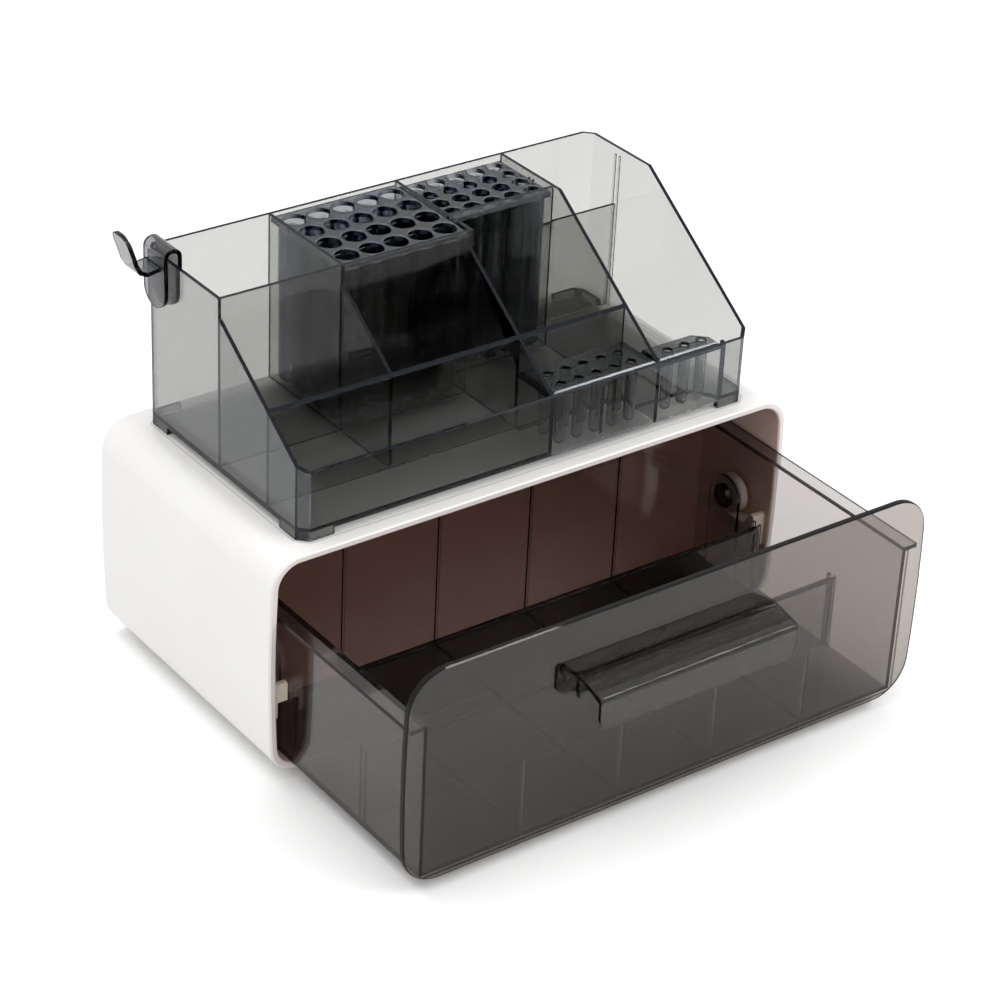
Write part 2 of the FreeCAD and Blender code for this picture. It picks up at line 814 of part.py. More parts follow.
def octagon(inset):
    """The tray's outline moved in, with chamfered corners."""
    x = "(tray_half - (%s))" % inset
    f = "(-tray_front + (%s))" % inset
    b = "(tray_back - (%s))" % inset
    c = "(tray_chamfer - (%s) * 0.5858)" % inset
    return [
        ("-%s + %s" % (x, c), f), ("%s - %s" % (x, c), f),
        (x, "%s + %s" % (f, c)), (x, "%s - %s" % (b, c)),
        ("%s - %s" % (x, c), b), ("-%s + %s" % (x, c), b),
        ("-" + x, "%s - %s" % (b, c)), ("-" + x, "%s + %s" % (f, c)),
    ]


def prism(name, role, offset, length, points):
    body = new_body(name)
    pad(body, name + "_pad", role, offset, length, points)
    return body


def slope_at(y):
    rise = "(tray_high - tray_low) / (slope_back + tray_front)"
    return "(housing_height + tray_low + ((%s) + tray_front) * %s)" % (y, rise)


def make_tray():
    outer = prism("tray_outer", "XY_Plane", TRAY_LOW, "tray_high - tray_foot", octagon("0"))
    inner = prism("tray_inner", "XY_Plane", FLOOR_TOP, "tray_high", octagon("tray_wall"))
    shell = cut("tray_shell", outer, inner)
    low = FLOOR_TOP + " - 0.2"
    inside_x = "(tray_half - tray_wall / 2)"
    inside_f = "(-tray_front + tray_wall / 2)"
    inside_b = "(tray_back - tray_wall / 2)"

    def lengthwise(name, x, y0, y1):
        return block(name, "%s - %s" % (x, HW), "%s + %s" % (x, HW), y0, y1, low, TRAY_TOP)

    def crosswise(name, y, x0, x1):
        return block(name, x0, x1, "%s - %s" % (y, HW), "%s + %s" % (y, HW), low, TRAY_TOP)

    walls = [
        lengthwise("tray_left_wall", "wall_left", "cross_front", inside_b),
        lengthwise("tray_mid_wall", "wall_mid", inside_f, inside_b),
        lengthwise("tray_right_wall", "wall_right", inside_f, inside_b),
        crosswise("tray_cross_front", "cross_front", "-" + inside_x, "wall_right"),
        crosswise("tray_cross_mid", "cross_mid", "-" + inside_x, "wall_mid"),
        crosswise("tray_cross_rear", "cross_rear", "wall_mid", "wall_right"),
        block("tray_post", "post_x - post_wide / 2", "post_x + post_wide / 2",
              inside_f, "-tray_front + tray_wall + 1.2", low, TRAY_TOP),
        block("tray_seam_rib", "seam_x - 0.7", "seam_x + 0.7",
              inside_f, "-tray_front + tray_wall + 0.6", TRAY_LOW, LOW_TOP + " - 3.2"),
    ]
    # ledges that the liner plates rest on
    ledge_top = "(%s + liner_over - liner_plate - rest_gap)" % LOW_TOP
    ledge_low = "(%s - ledge_high)" % ledge_top
    front_in = "(-tray_front + tray_wall)"
    for name, x0, x1 in (
        ("centre_left", "wall_mid + %s - 0.2" % HW, "wall_mid + %s + ledge_wide" % HW),
        ("centre_right", "wall_right - %s - ledge_wide" % HW, "wall_right - %s + 0.2" % HW),
        ("right_left", "wall_right + %s - 0.2" % HW, "wall_right + %s + ledge_wide" % HW),
    ):
        back = "cross_front" if name.startswith("centre") else "liner_right_back"
        walls.append(block("tray_ledge_" + name, x0, x1, inside_f, back, ledge_low, ledge_top))
    walls.append(block("tray_ledge_front", "wall_right", "post_x",
                       front_in + " - 0.2", front_in + " + ledge_wide", ledge_low, ledge_top))
    # paired guide ribs for the divider of the right bay
    near = "(divider_thick / 2 + fit_gap)"
    for k, (x0, x1) in enumerate((
        ("wall_right + %s - 0.2" % HW, "wall_right + %s + guide_deep" % HW),
        ("tray_half - tray_wall - guide_deep", "tray_half - tray_wall + 0.2"),
    )):
        walls.append(block("tray_guide_a%d" % k, x0, x1, "tray_divider_y - %s - guide_wide" % near,
                           "tray_divider_y - %s" % near, low, TRAY_TOP + " - 4"))
        walls.append(block("tray_guide_b%d" % k, x0, x1, "tray_divider_y + %s" % near,
                           "tray_divider_y + %s + guide_wide" % near, low, TRAY_TOP + " - 4"))
    # corner feet: short runs of the perimeter, under the floor
    ring = cut("tray_foot_ring",
               prism("tray_foot_outer", "XY_Plane", TRAY_FOOT_LOW, "tray_foot - rest_gap + 0.2",
                     octagon("0")),
               prism("tray_foot_inner", "XY_Plane", TRAY_FOOT_LOW + " - 1", "tray_foot + 3",
                     octagon("foot_thick")))
    corners = []
    for k, (sx, sy, edge) in enumerate((("-", "-", "tray_front"), ("", "-", "tray_front"),
                                        ("-", "", "tray_back"), ("", "", "tray_back"))):
        x_in = sx + "(tray_half - foot_run)"
        x_out = sx + "(tray_half + 1)"
        y_in = sy + "(%s - foot_run)" % edge
        y_out = sy + "(%s + 1)" % edge
        xs = (x_out, x_in) if sx == "-" else (x_in, x_out)
        ys = (y_out, y_in) if sy == "-" else (y_in, y_out)
        corners.append(block("tray_foot_corner_%d" % k, *xs, *ys, TRAY_FOOT_LOW + " - 1",
                             TRAY_LOW + " + 1"))
    feet = common("tray_feet", ring, fuse("tray_foot_corners", *corners))
    whole = fuse("tray_blank", shell, feet, *walls)

    # everything in front of the slope comes off; left of the mid wall it stops at the cross wall
    lip = "(-tray_front + tray_wall)"
    step = "(cross_mid - %s)" % HW
    split = "(wall_mid + %s)" % HW
    clear = TRAY_TOP + " + 10"
    left = prism("tray_slope_left", "YZ_Plane", "-tray_half - 5", "tray_half + 5 + " + split, [
        ("-tray_front - 10", LOW_TOP), (lip, LOW_TOP), (step, slope_at(step)),
        (step, clear), ("-tray_front - 10", clear)])
    right = prism("tray_slope_right", "YZ_Plane", split, "tray_half + 5 - " + split, [
        ("-tray_front - 10", LOW_TOP), (lip, LOW_TOP), ("slope_back", TRAY_TOP),
        ("slope_back", clear), ("-tray_front - 10", clear)])
    bay_floor = block("tray_bay_floor", "wall_mid + " + HW, "wall_right - " + HW,
                      "-tray_front + tray_wall", "cross_front - " + HW,
                      TRAY_LOW + " - 1", FLOOR_TOP + " + 1")
    right_floor = prism("tray_right_floor", "XY_Plane", TRAY_LOW + " - 1", "tray_floor + 2", [
        ("wall_right + " + HW, "-tray_front + tray_wall"),
        ("post_x - post_wide / 2", "-tray_front + tray_wall"),
        ("post_x - post_wide / 2", "right_bay_back - 12"),
        ("post_x - post_wide / 2 - 9.5", "right_bay_back"),
        ("wall_right + " + HW, "right_bay_back")])
    item = cut("tray_cut", whole, left, right, bay_floor, right_floor)
    return finish(item, "organizer_tray")


# ---------------------------------------------------------------- tube blocks

def make_tube_block(size_name, x0, x1, y0, y1):
    """A top plate over a grid of open tubes, and the base plate that closes them."""
    def d(key):
        return "%s_%s" % (size_name, key)

    name = "brush_" + size_name
    top = "(housing_height + %s)" % d("top")
    base_low = "(%s + rest_gap)" % FLOOR_TOP
    low = "(%s + block_base)" % base_low
    px, py = d("pitch_x"), d("pitch_y")
    middle_x = "((%s) + (%s)) / 2" % (x0, x1)
    middle_y = "((%s) + (%s)) / 2" % (y0, y1)
    half_x = "%s * (block_columns - 1) / 2" % px
    half_y = "%s * (block_rows - 1) / 2" % py
    first_x = "%s - %s" % (middle_x, half_x)
    first_y = "%s - %s" % (middle_y, half_y)
    body = new_body(name)
    plate = [(x0, y0), (x1, y0), (x1, y1), (x0, y1)]
    pad(body, name + "_plate", "XY_Plane", top + " - block_plate", "block_plate", plate)
    sketch = round_sketch(body, name + "_tube_sketch", top + " - block_plate / 2",
                          first_x, first_y, d("tube"))
    tube = body.newObject("PartDesign::Pad", name + "_tube")
    tube.Profile = sketch
    tube.Reversed = True
    bind(tube, "Length", "%s - block_plate / 2 - %s" % (top, low))
    doc.recompute()
    grid(body, tube, "block_columns", px, "block_rows", py)
    before = body.Shape.Volume
    sketch = round_sketch(body, name + "_hole_sketch", top, first_x, first_y, d("hole"))
    hole = body.newObject("PartDesign::Pocket", name + "_hole")
    hole.Profile = sketch
    bind(hole, "Length", "%s - %s + 1" % (top, low))
    doc.recompute()
    grid(body, hole, "block_columns", px, "block_rows", py)
    assert body.Shape.Volume < before * 0.8, name
    finish(body, "brush_block_" + size_name)
    base = new_body(name + "_base")
    reach_x = "(%s + %s * 0.5)" % (half_x, d("tube"))
    reach_y = "(%s + %s * 0.5)" % (half_y, d("tube"))
    pad(base, name + "_base_plate", "XY_Plane", base_low, "block_base", [
        (middle_x + " - " + reach_x, middle_y + " - " + reach_y),
        (middle_x + " + " + reach_x, middle_y + " - " + reach_y),
        (middle_x + " + " + reach_x, middle_y + " + " + reach_y),
        (middle_x + " - " + reach_x, middle_y + " + " + reach_y)])
    sketch = round_sketch(base, name + "_disc_sketch", base_low, first_x, first_y, d("tube"))
    disc = base.newObject("PartDesign::Pad", name + "_disc")
    disc.Profile = sketch
    bind(disc, "Length", "block_base")
    doc.recompute()
    grid(base, disc, "block_columns", px, "block_rows", py)
    return finish(base, "brush_base_" + size_name)


# --------------------------------------------------------------- liner plates

LINER_TOP = "(%s + liner_over)" % LOW_TOP
LINER_LOW = "(housing_height + liner_bottom)"


def make_liner(which, points, columns, rows, first_x):
    """A plate with narrow hanging tubes, open at both ends, joined row by row by a thin web."""
    name = "liner_" + which
    under = "(%s - liner_plate)" % LINER_TOP
    body = new_body(name)
    pad(body, name + "_plate", "XY_Plane", under, "liner_plate", points)
    sketch = round_sketch(body, name + "_tube_sketch", "%s + liner_plate / 2" % under,
                          first_x, "liner_first_y", "liner_tube")
    tube = body.newObject("PartDesign::Pad", name + "_tube")
    tube.Profile = sketch
    tube.Reversed = True
    bind(tube, "Length", "%s + liner_plate / 2 - %s" % (under, LINER_LOW))
    doc.recompute()
    many = str(rows) if rows > 1 else None
    grid(body, tube, str(columns), "liner_pitch", many, "liner_pitch")
    for row in range(rows):
        y = "liner_first_y + liner_pitch * %d" % row
        pad(body, "%s_web_%d" % (name, row), "XY_Plane", under + " - liner_skirt",
            "liner_skirt + liner_plate / 2", [
                (first_x, y + " - liner_web / 2"),
                ("%s + liner_pitch * %d" % (first_x, columns - 1), y + " - liner_web / 2"),
                ("%s + liner_pitch * %d" % (first_x, columns - 1), y + " + liner_web / 2"),
                (first_x, y + " + liner_web / 2")])
    before = body.Shape.Volume
    sketch = round_sketch(body, name + "_hole_sketch", LINER_TOP, first_x,
                          "liner_first_y", "liner_hole")
    hole = body.newObject("PartDesign::Pocket", name + "_hole")
    hole.Profile = sketch
    bind(hole, "Length", "%s - %s + 1" % (LINER_TOP, LINER_LOW))
    doc.recompute()
    grid(body, hole, str(columns), "liner_pitch", many, "liner_pitch")
    assert body.Shape.Volume < before * 0.95, name
    return finish(body, "liner_block_" + which)


# ------------------------------------------------------- tray divider, hook

def make_tray_divider():
    x0 = "(wall_right + %s + fit_gap)" % HW
    x1 = "(tray_half - tray_wall - fit_gap)"
    y0 = "tray_divider_y - divider_thick / 2"
    y1 = "tray_divider_y + divider_thick / 2"
    low = FLOOR_TOP + " + rest_gap"
    high = FLOOR_TOP + " + tray_divider_high"
    plate = block("tray_divider_plate", x0, x1, y0, y1, low, high)
    grip = block("tray_divider_grip", x0 + " + 6", x0 + " + 16", y0 + " - 1.2", y0 + " + 0.2",
                 high + " - 4", high)
    return finish(fuse("tray_divider_whole", plate, grip), "tray_divider")


def strip(spine, thick):
    """The outline of a strip of even thickness along a run of points."""
    spots = [V(num(x), num(z), 0) for x, z in spine]
    near, far = [], []
    for i, (x, z) in enumerate(spine):
        run = spots[min(i + 1, len(spots) - 1)] - spots[max(i - 1, 0)]
        side = V(-run.y, run.x, 0).normalize() * 0.5
        near.append(("%s - (%s) * %.4f" % (x, thick, side.x), "%s - (%s) * %.4f" % (z, thick, side.y)))
        far.append(("%s + (%s) * %.4f" % (x, thick, side.x), "%s + (%s) * %.4f" % (z, thick, side.y)))
    return near + far[::-1]


def make_hook():
    """A strip bent over the wall, with an upturned arm outside."""
    z = TRAY_TOP
    x_in = "(-tray_half + tray_wall + fit_gap)"
    out = "(%s - hook_span)" % x_in
    low = "(%s - hook_leg)" % z
    high = "(%s + hook_over)" % z
    thick = "hook_thick"
    body = new_body("hook_solid")
    clip = [
        (x_in, low),
        (x_in + " + " + thick, low),
        (x_in + " + " + thick, high),
        (out + " - " + thick, high),
        (out + " - " + thick, low),
        (out, low),
        (out, high + " - " + thick),
        (x_in, high + " - " + thick),
    ]
    pad(body, "hook_clip", "XZ_Plane", "-(hook_y + hook_width / 2)", "hook_width", clip)
    bend_outer = "(hook_span / 2 + %s - 0.1)" % thick

    def outer_bend(edge):
        return along(edge, Y) and edge.BoundBox.ZMin > num(high) - 0.01

    def inner_bend(edge):
        level = num(high) - num(thick)
        return along(edge, Y) and abs(edge.BoundBox.ZMin - level) < 0.01

    def leg_end(edge):
        return along(edge, X) and edge.BoundBox.ZMax < num(z) - 20

    round_edges(body, "hook_bend_outer", bend_outer, outer_bend)
    round_edges(body, "hook_bend_inner", "hook_span / 2 - 0.1", inner_bend)
    round_edges(body, "hook_leg_ends", "6", leg_end)
    start = "(%s - %s)" % (out, thick)
    arm = strip([
        (start + " + 1.6", z + " - 1.6"),
        (start + " - 2.6", z + " - 2.2"),
        (start + " - 7.6", z + " - 3.1"),
        (start + " - 11.4", z + " - 1.3"),
        (start + " - 13.8", z + " + 3"),
        (start + " - 15.6", z + " + 9"),
        (start + " - 17.6", z + " + 15"),
        (start + " - 19.6", z + " + 20.6"),
    ], "hook_thick")
    hook = new_body("hook_arm_solid")
    pad(hook, "hook_arm", "XZ_Plane", "-(hook_y + hook_width / 2 - 3)", "hook_width - 6", arm)
    tip_z = num(z) + 20

    def tip_edge(edge):
        return along(edge, Y) and edge.BoundBox.ZMax > tip_z - 0.6

    round_edges(hook, "hook_tip", "1.1", tip_edge)
    return finish(fuse("hook_whole", body, hook), "accessory_hook")


# --------------------------------------------------------------------- build

housing, cavity = make_housing()
make_pads()
for side_name in ("left", "right"):
    make_rail(side_name, cavity)
make_drawer_box()
make_drawer_front()
make_grip()
make_bracket()
for which_name in DIVIDERS:
    make_drawer_divider(which_name)
for side_name in ("left", "right"):
    make_roller(side_name)
    make_axle(side_name)
make_tray()

edge = "%s + fit_gap" % HW
make_tube_block("large", "wall_left + " + edge, "wall_mid - (%s)" % edge,
                "cross_mid + " + edge, "tray_back - tray_wall - fit_gap")
make_tube_block("small", "wall_mid + " + edge, "wall_right - (%s)" % edge,
                "cross_rear + " + edge, "tray_back - tray_wall - fit_gap")
near_y = "-tray_front + tray_wall + fit_gap"
make_liner("centre", [
    ("wall_mid + " + edge, near_y),
    ("wall_right - (%s)" % edge, near_y),
    ("wall_right - (%s)" % edge, "cross_front - (%s)" % edge),
    ("wall_mid + " + edge, "cross_front - (%s)" % edge),
], 5, 2, "liner_first_x")
make_liner("right", [
    ("wall_right + " + edge, near_y),
    ("liner_right_end", near_y),
    ("liner_right_end", "liner_right_back - liner_right_cut"),
    ("liner_right_end - liner_right_cut", "liner_right_back"),
    ("wall_right + " + edge, "liner_right_back"),
], 3, 1, "liner_right_first")
make_tray_divider()
make_hook()

doc.recompute()
for item in doc.Objects:
    bad = [s for s in item.State if s in ("Invalid", "Error")]
    assert not bad, (item.Name, item.State)
for item, node in finished:
    shape = item.Shape
    assert not shape.isNull() and shape.isValid(), node
    assert len(shape.Solids) == 1, (node, len(shape.Solids))
    shape.exportStep("parts/%s.step" % node)
    print(node, "volume %.0f" % shape.Volume)
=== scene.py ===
import json
import math

import bmesh
import bpy
from mathutils import Matrix, Vector

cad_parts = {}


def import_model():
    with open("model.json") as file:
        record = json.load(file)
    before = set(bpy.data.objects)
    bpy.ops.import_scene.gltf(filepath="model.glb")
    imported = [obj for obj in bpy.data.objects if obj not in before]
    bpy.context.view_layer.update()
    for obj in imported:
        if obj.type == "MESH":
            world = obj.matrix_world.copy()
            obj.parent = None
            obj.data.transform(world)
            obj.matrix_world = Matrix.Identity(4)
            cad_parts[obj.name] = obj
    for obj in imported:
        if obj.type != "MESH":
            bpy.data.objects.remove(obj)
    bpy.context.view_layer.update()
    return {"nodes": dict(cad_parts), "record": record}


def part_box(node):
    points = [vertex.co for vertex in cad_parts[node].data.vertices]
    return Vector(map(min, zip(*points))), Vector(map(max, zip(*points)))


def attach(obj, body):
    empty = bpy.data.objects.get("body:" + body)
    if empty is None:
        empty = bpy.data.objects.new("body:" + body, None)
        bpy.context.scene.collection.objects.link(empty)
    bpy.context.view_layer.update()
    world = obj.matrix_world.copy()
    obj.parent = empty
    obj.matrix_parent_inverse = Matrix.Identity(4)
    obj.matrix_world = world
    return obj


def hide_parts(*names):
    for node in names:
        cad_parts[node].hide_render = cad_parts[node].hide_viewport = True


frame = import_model()
MM = 0.001
# points closer than this are one: in a CAD copy, in a formed sheet, in a formed piece
CAD_WELD, WELD, LAST_WELD = 0.002 * MM, 0.001 * MM, 0.005 * MM


# ------------------------------------------------------------- shader helpers

class Wire:
    """A shader socket that takes plain arithmetic."""

    def __init__(self, finish, socket):
        self.finish = finish
        self.socket = socket

    def maths(self, operation, *others):
        values = [self, *others]
        return self.finish.node("ShaderNodeMath", {"operation": operation}, values).out(0)

    def __add__(self, other):
        return self.maths("ADD", other)

    __radd__ = __add__

    def __mul__(self, other):
        return self.maths("MULTIPLY", other)

    __rmul__ = __mul__

    def __sub__(self, other):
        return self.maths("SUBTRACT", other)

    def __rsub__(self, other):
        return self.finish.node("ShaderNodeMath", {"operation": "SUBTRACT"}, [other, self]).out(0)

    def __abs__(self):
        return self.maths("ABSOLUTE")

    def __pow__(self, other):
        return self.maths("POWER", other)

    def above(self, other):
        return self.maths("GREATER_THAN", other)

    def below(self, other):
        return self.maths("LESS_THAN", other)

    def highest(self, other):
        return self.maths("MAXIMUM", other)

    def lowest(self, other):
        return self.maths("MINIMUM", other)

    def ramp(self, low, high, to_low=0.0, to_high=1.0):
        """Straight-line map between two levels, held outside them."""
        made = self.finish.node(
            "ShaderNodeMapRange", {"clamp": True}, [self, low, high, to_low, to_high])
        return made.out(0)


class Step:
    """One node, with its outputs as wires."""

    def __init__(self, finish, made):
        self.finish = finish
        self.made = made

    def out(self, key):
        return Wire(self.finish, self.made.outputs[key])


class Tree:
    """A node tree that is written as steps."""

    def __init__(self, tree):
        self.tree = tree

    def feed(self, socket, value):
        if isinstance(value, Wire):
            self.tree.links.new(value.socket, socket)
        elif value is not None:
            socket.default_value = value

    def node(self, kind, settings=None, values=()):
        """Any node: its settings first, then its sockets by place or by name."""
        made = self.tree.nodes.new(kind)
        for key, value in (settings or {}).items():
            setattr(made, key, value)
        pairs = values.items() if isinstance(values, dict) else enumerate(values)
        for key, value in pairs:
            self.feed(made.inputs[key], value)
        return Step(self, made)


class Finish(Tree):
    """A node material for one of the object's finishes."""

    def __init__(self, name):
        self.material = bpy.data.materials.new(name)
        self.material.use_nodes = True
        super().__init__(self.material.node_tree)
        self.tree.nodes.clear()
        self.output = self.tree.nodes.new("ShaderNodeOutputMaterial")

    def place(self):
        """Object coordinates, in metres in the row's frame."""
        return self.node("ShaderNodeTexCoord").out("Object")

    def axes(self):
        split = self.node("ShaderNodeSeparateXYZ", None, [self.place()])
        return split.out(0), split.out(1), split.out(2)

    def noise(self, scale, detail=2.0, stretch=(1, 1, 1)):
        spot = self.node("ShaderNodeMapping", None, {"Vector": self.place(), "Scale": stretch})
        return self.node("ShaderNodeTexNoise", None,
                         {"Vector": spot.out(0), "Scale": scale, "Detail": detail}).out("Fac")

    def blend(self, factor, one, two):
        made = self.node("ShaderNodeMix", {"data_type": "RGBA"})
        self.feed(made.made.inputs[0], factor)
        self.feed(made.made.inputs[6], one)
        self.feed(made.made.inputs[7], two)
        return made.out(2)

    def bump(self, height, distance, strength=1.0):
        return self.node("ShaderNodeBump", None,
                         {"Height": height, "Distance": distance, "Strength": strength}).out(0)

    def surface(self, **values):
        named = {key.replace("_", " "): value for key, value in values.items()}
        made = self.node("ShaderNodeBsdfPrincipled", None, named)
        self.feed(self.output.inputs["Surface"], made.out(0))
        return made


class Former(Tree):
    """A geometry node group that forms one kind of piece, with a named input for each size."""

    def __init__(self, name):
        super().__init__(bpy.data.node_groups.new(name, "GeometryNodeTree"))
        for way in ("INPUT", "OUTPUT"):
            self.tree.interface.new_socket("Mesh", in_out=way, socket_type="NodeSocketGeometry")
        self.source = self.tree.nodes.new("NodeGroupInput")
        self.result = self.tree.nodes.new("NodeGroupOutput")

    def size(self, name, kind="Float"):
        self.tree.interface.new_socket(name, in_out="INPUT", socket_type="NodeSocket" + kind)
        return Wire(self, self.source.outputs[name])

    def start(self):
        return Wire(self, self.source.outputs["Mesh"])

    def join(self, *parts):
        """Several meshes as one, welded where they meet."""
        both = self.node("GeometryNodeJoinGeometry")
        for part in parts:
            self.tree.links.new(part.socket, both.made.inputs[0])
        return self.weld(both.out(0), WELD)

    def weld(self, mesh, reach):
        return self.node("GeometryNodeMergeByDistance", None,
                         {"Geometry": mesh, "Distance": reach}).out(0)

    def combine(self, operation, parts, cut_from=None):
        """A mesh boolean. parts all go in one socket; cut_from is what a DIFFERENCE is cut from."""
        made = self.node("GeometryNodeMeshBoolean",
                         {"operation": operation, "solver": "MANIFOLD"})
        if cut_from is not None:
            self.feed(made.made.inputs["Mesh 1"], cut_from)
        for part in parts:
            self.tree.links.new(part.socket, made.made.inputs["Mesh 2"])
        return made.out(0)

    def moved(self, mesh, way, turn=(0, 0, 0)):
        return self.node("GeometryNodeTransform", None,
                         {"Geometry": mesh, "Translation": way, "Rotation": turn}).out(0)

    def spot(self, x, y, z):
        return self.node("ShaderNodeCombineXYZ", None, [x, y, z]).out(0)

    def raised(self, mesh, height, only=None):
        """A mesh whose faces are drawn straight up, and which of the new faces are on top."""
        made = self.node("GeometryNodeExtrudeMesh", {"mode": "FACES"},
                         {"Mesh": mesh, "Selection": only, "Offset": (0, 0, 1),
                          "Offset Scale": height, "Individual": False})
        return made.out(0), made.out("Top")

    def instances(self, points, shape):
        return self.node("GeometryNodeInstanceOnPoints", None,
                         {"Points": points, "Instance": shape}).out(0)

    def deliver(self, mesh, material):
        real = self.node("GeometryNodeRealizeInstances", None, [mesh]).out(0)
        whole = self.weld(real, LAST_WELD)
        skinned = self.node("GeometryNodeSetMaterial", None,
                            {"Geometry": whole, "Material": material}).out(0)
        self.feed(self.result.inputs["Mesh"], skinned)

    def run(self, name, start, sizes):
        """Form one piece from a starting mesh, and keep the plain mesh that comes out."""
        carrier = bpy.data.objects.new(name, start)
        bpy.context.scene.collection.objects.link(carrier)
        maker = carrier.modifiers.new("former", "NODES")
        maker.node_group = self.tree
        for item in self.tree.interface.items_tree:
            if item.in_out == "INPUT" and item.name in sizes:
                maker[item.identifier] = sizes[item.name]
        carrier.update_tag()
        ready = carrier.evaluated_get(bpy.context.evaluated_depsgraph_get())
        formed = bpy.data.meshes.new_from_object(ready)
        carrier.modifiers.remove(maker)
        carrier.data = formed
        formed.name = name
        return carrier


def colour(red, green, blue):
    """A colour given as it looks on screen, 0 to 255, turned into linear light."""
    def line(level):
        level = level / 255
        return level / 12.92 if level <= 0.04045 else ((level + 0.055) / 1.055) ** 2.4
    return (line(red), line(green), line(blue), 1.0)


# ------------------------------------------------------------------- finishes

# moulded plastic: how deep its grain is, how fine, and how it bends light
GRAIN, GRAIN_SCALE, PLASTIC_IOR = 0.01 * MM, 2600, 1.49
# the case's outline: half widths of its straight sides, and the inner corner's radius
CASE_FLAT_X, CASE_FLAT_Z, CASE_CORNER = 146.7 * MM, 46.25 * MM, 15.35 * MM
CASE_MIDDLE, CASE_TOP = 63.25 * MM, 126 * MM
# along the case: where the rose inside, partly painted shade, starts and ends, and how deep the
# soft rim is
MOUTH_Y, REAR_SKIN_Y, RIM_Y = -83.6 * MM, 82.2 * MM, -82.6 * MM
# the tray's footprint on top of the case, round which a shadow line is painted
SEAT_HALF_X, SEAT_HALF_Y, SEAT_SHIFT_Y = 142.5 * MM, 74.25 * MM, 0.75 * MM
SEAT_CORNER, SEAT_CLEAR = 5.5 * MM, 0.9 * MM
WHITE_LIGHT, WHITE_DARK = colour(247, 246, 244), colour(243, 241, 239)
# tones of the rose inside, partly painted shade for the warm shade deep in the case
ROSE_LIGHT, ROSE_DARK = colour(246, 217, 206), colour(242, 211, 199)
SEAT_SHADOW_TONE, RIM_TONE = colour(196, 193, 192), colour(240, 226, 222)


def moulded(name, base, roughness):
    """Satin moulded plastic: a fine grain, and faint cloudiness in the gloss."""
    finish = Finish(name)
    cloud = finish.noise(18)
    fine = finish.noise(GRAIN_SCALE, 1.0)
    tone = finish.blend(cloud.ramp(0.35, 0.65, 0, 0.35), base,
                        tuple(c * 0.965 for c in base[:3]) + (1,))
    finish.surface(Base_Color=tone,
                   Roughness=cloud.ramp(0.3, 0.7, roughness - 0.04, roughness + 0.05),
                   Normal=finish.bump(fine, GRAIN), IOR=PLASTIC_IOR)
    return finish.material


def two_tone_shaded_shell():
    """White outside, dusty rose inside, told apart by distance from the case's outline. The rose is
    partly the inside's own tone and partly painted shade, standing in for the warm shade deep in
    the case.

    A faint grey line on top, a painted shadow, shows where the tray sits."""
    finish = Finish("white_shell_rose_lining")
    x, y, z = finish.axes()
    across = (abs(x) - CASE_FLAT_X).highest(0.0)
    upward = (abs(z - CASE_MIDDLE) - CASE_FLAT_Z).highest(0.0)
    reach = (across * across + upward * upward) ** 0.5
    # the case's flanks bow outwards, most at mid height
    bow = ((z - CASE_MIDDLE) * (z - CASE_MIDDLE)) * 0.5
    inside = (reach + bow).below(CASE_CORNER)
    # the rose inside: partly painted shade, standing in for the warm shade deep in the case
    rose_lining_and_shade = inside * y.above(MOUTH_Y) * y.below(REAR_SKIN_Y)
    cloud = finish.noise(14)
    fine = finish.noise(GRAIN_SCALE, 1.0)
    white = finish.blend(cloud.ramp(0.35, 0.65, 0, 0.4), WHITE_LIGHT, WHITE_DARK)
    rose = finish.blend(cloud.ramp(0.3, 0.7), ROSE_LIGHT, ROSE_DARK)
    rim = y.below(RIM_Y)
    beside = abs(x) - SEAT_HALF_X
    behind = abs(y + SEAT_SHIFT_Y) - SEAT_HALF_Y
    corner = (beside + behind + SEAT_CORNER) * math.sqrt(0.5)
    from_seat = abs(beside.highest(behind).highest(corner) - SEAT_CLEAR)
    # painted shadow: a faint grey line round the tray's foot on the case's top
    seat_shadow = from_seat.ramp(0.25 * MM, 0.7 * MM, 0.75, 0.0) * z.above(CASE_TOP)
    white = finish.blend(seat_shadow, white, SEAT_SHADOW_TONE)
    edge = finish.blend(rim * 0.55, white, RIM_TONE)
    tone = finish.blend(rose_lining_and_shade, edge, rose)
    finish.surface(Base_Color=tone,
                   Roughness=cloud.ramp(0.3, 0.7, 0.3, 0.38) + rose_lining_and_shade * 0.12,
                   Normal=finish.bump(fine, GRAIN), IOR=PLASTIC_IOR)
    return finish.material


# tints of pane edges, colours of the gloss, and the tones of the darker zones; the floor, streak
# and side tones are painted shade
WHITE = (1, 1, 1, 1)
NAVY_EDGE = (0.1, 0.12, 0.18, 1)
BROWN_EDGE = (0.16, 0.15, 0.14, 1)
BLACK_EDGE = (0.02, 0.02, 0.02, 1)
COOL_SHINE = (0.84, 0.92, 1.0, 1)
WARM_SHINE = (1.0, 0.97, 0.93, 1)
FLOOR_SHADE_TONE, SEAM_TONE = (0.25, 0.235, 0.22, 1), (0.08, 0.075, 0.07, 1)
STREAK_SHADE_TONE, SIDE_SHADE_TONE = (0.4, 0.43, 0.5, 1), (0.8, 0.795, 0.79, 1)
# the seams under the drawer: how far apart, and where each one starts and ends to fade
SEAM_PITCH, SEAM_FADE = 60.3 * MM, (0.9 * MM, 1.6 * MM)
LINE_FADE = (0.4 * MM, 0.9 * MM)
# streaks, which are painted shade, are fine across and almost endless upward
STREAK_SCALE, STREAK_STRETCH = 230, (1, 1, 0.012)
RIPPLE_DEPTH, SMOKED_IOR = 0.04 * MM, 1.47


